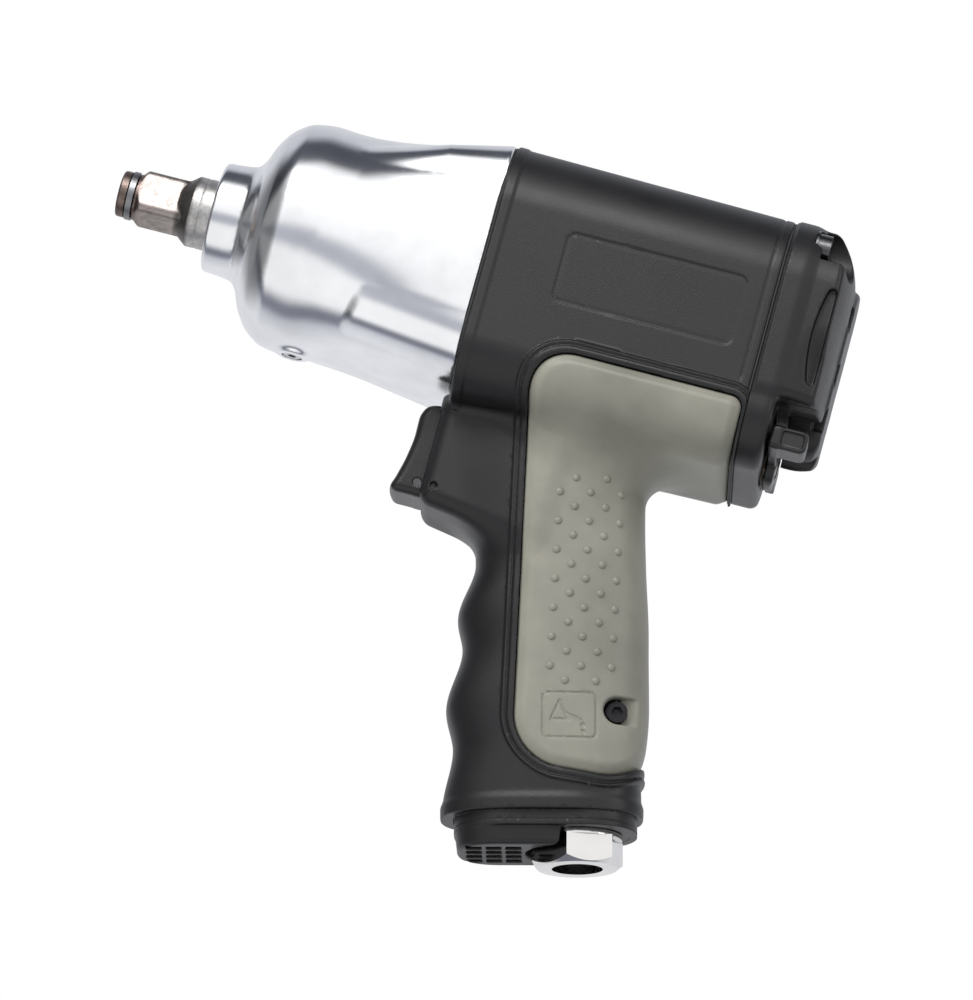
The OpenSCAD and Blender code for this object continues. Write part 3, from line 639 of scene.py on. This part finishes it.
def anvil_field(x, y, z):
    r = np.hypot(y, z)
    tip = common(r - TIP_R, span(x, 0, 6.4), 0.7)
    tip = cut(tip, common(span(x, 2.45, 4.55), 5.0 - r, 0.1), 0.2)
    turn = math.radians(-11)
    cy, cz = y * math.cos(turn) + z * math.sin(turn), z * math.cos(turn) - y * math.sin(turn)
    square = rounded_rect(cy, cz, 6.33, 6.33, 2.1)
    ends = common(x - 18.5, (r - 6.3) * 0.62 - (x - 5.2) * 0.78, 0.3)
    square = common(square, ends, 0.35)
    square = common(square, 5 - x)
    body = union(tip, square, 0.25)
    journal = common(turned(x, r, anvil_radius), span(x, JOURNAL_X, 50.4), 0.3)
    body = union(body, journal, 0.4)
    collar = common(r - 13, span(x, 50.4, 52.4), 0.3)
    core = common(r - 9, span(x, 50, 91.5), 0.3)
    body = union(union(body, collar), core)
    for start, sign in ((57.5, 1), (75.5, -1)):
        lug = common(common(np.abs(y) - 3.5, r - 13.2, 0.4), span(x, start, start + 15.5), 0.3)
        body = union(body, common(lug, -sign * z))
    drill = common(r - 2.2 + 0.8 * x, -1 - x)
    return cut(body, drill, 0.2)


# ---- Materials ----


def nodes_of(material):
    material.use_nodes = True
    tree = material.node_tree
    tree.nodes.clear()
    out = tree.nodes.new("ShaderNodeOutputMaterial")
    shader = tree.nodes.new("ShaderNodeBsdfPrincipled")
    tree.links.new(shader.outputs[0], out.inputs[0])
    return tree, shader


def noise(tree, scale, detail, rough=0.5, stretch=(1, 1, 1)):
    """3-D noise in object space, in metres."""
    place = tree.nodes.new("ShaderNodeTexCoord")
    mapping = tree.nodes.new("ShaderNodeMapping")
    mapping.inputs["Scale"].default_value = stretch
    tree.links.new(place.outputs["Object"], mapping.inputs["Vector"])
    tex = tree.nodes.new("ShaderNodeTexNoise")
    tree.links.new(mapping.outputs[0], tex.inputs["Vector"])
    for name, value in (("Scale", scale), ("Detail", detail), ("Roughness", rough)):
        tex.inputs[name].default_value = value
    return tex.outputs["Fac"]


def ramp(tree, source, *stops):
    """A ramp through stops, each a place and a grey value or a colour."""
    node = tree.nodes.new("ShaderNodeValToRGB")
    elements = node.color_ramp.elements
    while len(elements) < len(stops):
        elements.new(0.5)
    for element, (place, value) in zip(elements, stops):
        element.position = place
        element.color = (*value, 1) if isinstance(value, tuple) else (value, value, value, 1)
    tree.links.new(source, node.inputs[0])
    return node.outputs["Color"]


def clouded(tree, source, colour, dark, low, light, high):
    """A colour that drifts from a darker to a lighter shade of itself."""
    darker = tuple(c * dark for c in colour)
    lighter = tuple(min(1, c * light) for c in colour)
    return ramp(tree, source, (low, darker), (high, lighter))


def emboss(tree, shader, height, strength, distance):
    """Small relief on the shader's normal."""
    dent = tree.nodes.new("ShaderNodeBump")
    dent.inputs["Strength"].default_value = strength
    dent.inputs["Distance"].default_value = distance
    tree.links.new(height, dent.inputs["Height"])
    tree.links.new(dent.outputs[0], shader.inputs["Normal"])


def moulded(name, colour, rough, grain, lift=0.0006, coat=0.0):
    """Moulded plastic: fine spark-erosion grain, cloudy gloss and a slight colour drift."""
    material = bpy.data.materials.new(name)
    tree, shader = nodes_of(material)
    fine = noise(tree, grain, 3, 0.6)
    broad = noise(tree, 38, 4, 0.62)
    tree.links.new(clouded(tree, broad, colour, 0.82, 0.3, 1.16, 0.72), shader.inputs["Base Color"])
    gloss = ramp(tree, broad, (0.28, rough - 0.05), (0.75, rough + 0.07))
    tree.links.new(gloss, shader.inputs["Roughness"])
    emboss(tree, shader, fine, 0.35, lift)
    shader.inputs["Specular IOR Level"].default_value = 0.35
    shader.inputs["Coat Weight"].default_value = coat
    shader.inputs["Coat Roughness"].default_value = 0.25
    return material


def metal(name, colour, rough, streak, stretch=(1, 1, 1), spread=0.08, lift=0.00008):
    """Metal with fine tool marks: noise stretched along the marks. Colour may be a function of the tree."""
    material = bpy.data.materials.new(name)
    tree, shader = nodes_of(material)
    marks = noise(tree, streak, 5, 0.7, stretch)
    if callable(colour):
        base = colour(tree)
    else:
        base = clouded(tree, noise(tree, 60, 3, 0.55), colour, 0.9, 0.3, 1.06, 0.7)
    tree.links.new(base, shader.inputs["Base Color"])
    gloss = ramp(tree, marks, (0.25, rough - spread), (0.75, rough + spread))
    tree.links.new(gloss, shader.inputs["Roughness"])
    emboss(tree, shader, marks, 0.5, lift)
    shader.inputs["Metallic"].default_value = 1.0
    return material


def worn_steel(tree):
    """Brown at the anvil's tip, rubbed pale on the square, dark on the cone and bright behind it."""
    zones_end = 30
    brown, pale = (0.17, 0.13, 0.115), (0.34, 0.295, 0.28)
    dark, bright = (0.12, 0.11, 0.10), (0.5, 0.49, 0.48)
    place = tree.nodes.new("ShaderNodeTexCoord")
    along = tree.nodes.new("ShaderNodeSeparateXYZ")
    tree.links.new(place.outputs["Object"], along.inputs[0])
    reach = tree.nodes.new("ShaderNodeMath")
    reach.operation = "MULTIPLY"
    reach.inputs[1].default_value = MM / zones_end
    tree.links.new(along.outputs["X"], reach.inputs[0])
    zones = ramp(
        tree, reach.outputs[0],
        (0.0, brown), (0.17, (0.19, 0.145, 0.13)), (0.22, pale), (0.54, (0.35, 0.31, 0.29)),
        (0.58, dark), (0.68, (0.15, 0.14, 0.13)), (0.72, bright), (1.0, bright),
    )
    # Blotches where the sockets have rubbed
    shade = ramp(tree, noise(tree, 420, 5, 0.7), (0.35, 0.72), (0.65, 1.15))
    mix = tree.nodes.new("ShaderNodeMix")
    mix.data_type = "RGBA"
    mix.blend_type = "MULTIPLY"
    mix.inputs[0].default_value = 1.0
    tree.links.new(zones, mix.inputs[6])
    tree.links.new(shade, mix.inputs[7])
    return mix.outputs[2]


BLACK = (0.0075, 0.0075, 0.008)
looks = {
    "anvil_steel": metal("anvil_steel", worn_steel, 0.4, 900, (1, 3, 3), 0.1),
    "black_rubber": moulded("black_rubber", (0.012, 0.012, 0.012), 0.62, 3000),
    "case_aluminium": metal("case_aluminium", (0.86, 0.87, 0.89), 0.17, 700, (6, 1, 1), 0.03, 0.00002),
    "bronze": metal("bronze", (0.55, 0.36, 0.18), 0.35, 1200),
    "zinc_steel": metal("zinc_steel", (0.62, 0.62, 0.62), 0.28, 1500),
    "dark_steel": metal("dark_steel", (0.24, 0.24, 0.25), 0.36, 1200),
    "gasket": moulded("gasket", (0.03, 0.03, 0.03), 0.7, 4000),
    "plate_aluminium": metal("plate_aluminium", (0.7, 0.7, 0.71), 0.3, 1200),
    "bearing_steel": metal("bearing_steel", (0.75, 0.75, 0.76), 0.15, 1200, spread=0.04),
    "liner_steel": metal("liner_steel", (0.5, 0.5, 0.5), 0.25, 1200, (1, 4, 4)),
    "vane_resin": moulded("vane_resin", (0.16, 0.07, 0.03), 0.5, 2500),
    "black_composite": moulded("black_composite", (0.0075, 0.0075, 0.0082), 0.4, 2600, 0.00012, 0.06),
    "grey_overmould": moulded("grey_overmould", (0.196, 0.192, 0.160), 0.42, 2600, 0.00012, 0.05),
    "black_steel": metal("black_steel", (0.03, 0.03, 0.032), 0.35, 1500),
    "cap_screw": metal("cap_screw", (0.10, 0.10, 0.105), 0.26, 1500),
    "lever_black": moulded("lever_black", BLACK, 0.36, 2600, 0.00012, 0.08),
    "valve_resin": moulded("valve_resin", (0.35, 0.28, 0.19), 0.45, 2500),
    "trigger_black": moulded("trigger_black", BLACK, 0.3, 2600, 0.0001, 0.12),
    "spring_steel": metal("spring_steel", (0.27, 0.235, 0.22), 0.26, 1500, spread=0.05),
    "inlet_chrome": metal("inlet_chrome", (0.78, 0.77, 0.76), 0.1, 900, spread=0.05, lift=0.00003),
    "deflector_black": moulded("deflector_black", BLACK, 0.42, 2600, 0.00012, 0.05),
    "felt": moulded("felt", (0.12, 0.12, 0.12), 0.9, 1500, 0.0006),
}

slot_of = {s["node"]: s["material_slot"] for s in frame["record"]["subparts"]}


def dress(piece, slot):
    """Gives a piece the look of one of the record's material slots."""
    piece.data.materials.clear()
    piece.data.materials.append(looks[slot])


for node_name, node in frame["nodes"].items():
    for place in node.material_slots:
        place.material = looks[slot_of[node_name]]
    if not node.material_slots:
        node.data.materials.append(looks[slot_of[node_name]])


# ---- Pieces ----


def shell(name, node, body, field, step, rounds=2):
    """Meshes a field inside its CAD node's box and shows it in that node's place."""
    low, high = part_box(node)
    piece = mesh_field(name, field, [c * MM for c in low], [c * MM for c in high], step, rounds)
    dress(piece, slot_of[node])
    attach(piece, body)
    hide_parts(node)


COARSE = 1.0
FINE_ROUNDS = 3
shell("case_shell", "hammer_case", "casing", case_field, 0.9 * COARSE)
shell("housing_shell", "housing", "casing", housing_field, 0.9 * COARSE, FINE_ROUNDS)
shell("panel_skin", "grip_panel", "casing", panel_field, 0.8 * COARSE, FINE_ROUNDS)
shell("cover_shell", "rear_cover", "casing", cover_field, 0.7 * COARSE)
shell("trigger_pad", "trigger", "trigger", trigger_field, 0.5 * COARSE)
shell("lever_wings", "reverse_lever", "reverse", lever_field, 0.5 * COARSE)
shell("deflector_plate", "exhaust_deflector", "casing", deflector_field, 0.55 * COARSE)
shell("anvil_forging", "anvil", "anvil", anvil_field, 0.5 * COARSE)


def on_panel(back, down, side):
    """The first point of the panel's skin met from outside, and the skin's normal there."""
    x = HANDLE_X + back * COS + down * SIN
    z = back * SIN - down * COS
    reach = np.linspace(22, 6, 800)
    inside = panel_field(x + 0 * reach, side * reach, z + 0 * reach) < 0
    p = np.array([[x, side * reach[np.argmax(inside)], z]])
    return Vector(p[0]), Vector(gradient(panel_field, p)[0]).normalized()


def add_dome(verts, faces, foot, n):
    """A round dome on the skin, its edge sunk a little."""
    radius, height, sunk = 1.12, 0.7, 0.06
    rings, spokes = 4, 14
    up = n.orthogonal().normalized()
    other = n.cross(up)
    base = len(verts)
    for k in range(rings):
        a = k / rings * math.pi / 2
        for s in range(spokes):
            b = s / spokes * math.tau
            v = foot + (up * math.cos(b) + other * math.sin(b)) * radius * math.cos(a)
            verts.append((v + n * (height * math.sin(a) - sunk)) / MM)
    verts.append((foot + n * (height - sunk)) / MM)
    for k in range(rings):
        ring = base + k * spokes
        for s in range(spokes):
            t = (s + 1) % spokes
            if k < rings - 1:
                faces.append([ring + s, ring + t, ring + spokes + t, ring + spokes + s])
            else:
                faces.append([ring + s, ring + t, ring + spokes])


def dimples():
    """Small raised domes on both sides of the grip panel, in staggered rows."""
    across, along, rows = 8.25, 4.0, 15
    verts, faces = [], []
    for side in (-1, 1):
        for row in range(rows):
            odd = row % 2
            for i in range(2 + odd):
                back = 6.9 - 4.2 * odd + i * across - 0.052 * row * along
                add_dome(verts, faces, *on_panel(back, 54.1 + row * along, side))
    mesh = bpy.data.meshes.new("grip_dimples")
    mesh.from_pydata([tuple(v) for v in verts], [], faces)
    mesh.polygons.foreach_set("use_smooth", [True] * len(mesh.polygons))
    piece = bpy.data.objects.new("grip_dimples", mesh)
    bpy.context.scene.collection.objects.link(piece)
    dress(piece, "grey_overmould")
    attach(piece, "casing")


dimples()


# ---- Studio ----


def area_light(name, place, target, size, power):
    data = bpy.data.lights.new(name, "AREA")
    data.shape = "RECTANGLE"
    data.size, data.size_y = size
    data.energy = power
    light = bpy.data.objects.new(name, data)
    light.location = place
    light.rotation_euler = (Vector(target) - Vector(place)).to_track_quat("-Z", "Y").to_euler()
    bpy.context.scene.collection.objects.link(light)
    return light


def softboxes(tree):
    """The studio's surround: pale and dark bands about the drive axis, by angle from the near side."""
    place = tree.nodes.new("ShaderNodeTexCoord")
    split_xyz = tree.nodes.new("ShaderNodeSeparateXYZ")
    tree.links.new(place.outputs["Generated"], split_xyz.inputs[0])
    near = tree.nodes.new("ShaderNodeMath")
    near.operation = "MULTIPLY"
    near.inputs[1].default_value = -1.0
    tree.links.new(split_xyz.outputs["Y"], near.inputs[0])
    angle = tree.nodes.new("ShaderNodeMath")
    angle.operation = "ARCTAN2"
    tree.links.new(split_xyz.outputs["Z"], angle.inputs[0])
    tree.links.new(near.outputs[0], angle.inputs[1])
    turn = tree.nodes.new("ShaderNodeMath")
    turn.operation = "MULTIPLY_ADD"
    turn.inputs[1].default_value = 1 / math.tau
    turn.inputs[2].default_value = 0.5
    tree.links.new(angle.outputs[0], turn.inputs[0])
    stops = []
    for degrees, value in (
        (-180, 0.84), (-132, 0.88), (-108, 0.7), (-97, 0.26), (-87, 0.26), (-74, 1.02), (-30, 1.02),
        (-20, 0.55), (-9, 0.55), (1, 1.08), (62, 1.08), (72, 0.10), (98, 0.10), (114, 0.66), (180, 0.84),
    ):
        cool = 0.28 * max(0, 1 - value)
        stops.append((degrees / 360 + 0.5, (value * (1 - cool), value * (1 - 0.8 * cool), value)))
    bands = ramp(tree, turn.outputs[0], *stops)
    # The room beyond the drive end is dark
    ahead = tree.nodes.new("ShaderNodeMapRange")
    ahead.interpolation_type = "SMOOTHSTEP"
    for name, value in (("From Min", -0.9), ("From Max", -0.6), ("To Min", 0.28), ("To Max", 1.0)):
        ahead.inputs[name].default_value = value
    tree.links.new(split_xyz.outputs["X"], ahead.inputs["Value"])
    shade = tree.nodes.new("ShaderNodeVectorMath")
    shade.operation = "SCALE"
    tree.links.new(bands, shade.inputs[0])
    tree.links.new(ahead.outputs["Result"], shade.inputs["Scale"])
    return shade.outputs[0]


def studio():
    """A pale floor far below, a surround that the camera sees as white, and large soft lights."""
    mesh = bpy.data.meshes.new("floor")
    size, height = 6.0, -0.75
    corners = [(-size, -size, height), (size, -size, height), (size, size, height), (-size, size, height)]
    mesh.from_pydata(corners, [], [(0, 1, 2, 3)])
    floor = bpy.data.objects.new("floor", mesh)
    bpy.context.scene.collection.objects.link(floor)
    material = bpy.data.materials.new("floor_paper")
    tree, shader = nodes_of(material)
    tree.links.new(ramp(tree, noise(tree, 30, 2), (0.3, 0.86), (0.7, 0.9)), shader.inputs["Base Color"])
    shader.inputs["Roughness"].default_value = 0.8
    floor.data.materials.append(material)
    floor.visible_glossy = False
    world = bpy.data.worlds.new("studio")
    bpy.context.scene.world = world
    world.use_nodes = True
    tree = world.node_tree
    tree.nodes.clear()
    out = tree.nodes.new("ShaderNodeOutputWorld")
    seen = tree.nodes.new("ShaderNodeBackground")
    seen.inputs["Color"].default_value = (1, 1, 1, 1)
    around = tree.nodes.new("ShaderNodeBackground")
    tree.links.new(softboxes(tree), around.inputs["Color"])
    path = tree.nodes.new("ShaderNodeLightPath")
    mix = tree.nodes.new("ShaderNodeMixShader")
    tree.links.new(path.outputs["Is Camera Ray"], mix.inputs[0])
    tree.links.new(around.outputs[0], mix.inputs[1])
    tree.links.new(seen.outputs[0], mix.inputs[2])
    tree.links.new(mix.outputs[0], out.inputs[0])
    centre = (0.11, 0, -0.03)
    area_light("key", (-0.15, -0.62, 0.5), centre, (0.7, 0.3), 5)
    area_light("front", (-0.9, -0.5, 0.25), centre, (0.4, 0.4), 4).visible_glossy = False
    area_light("fill", (-0.5, -0.6, -0.3), centre, (0.5, 0.3), 3.6).visible_glossy = False
    area_light("rear", (0.9, -0.4, 0.5), centre, (0.3, 0.6), 1.2)


studio()
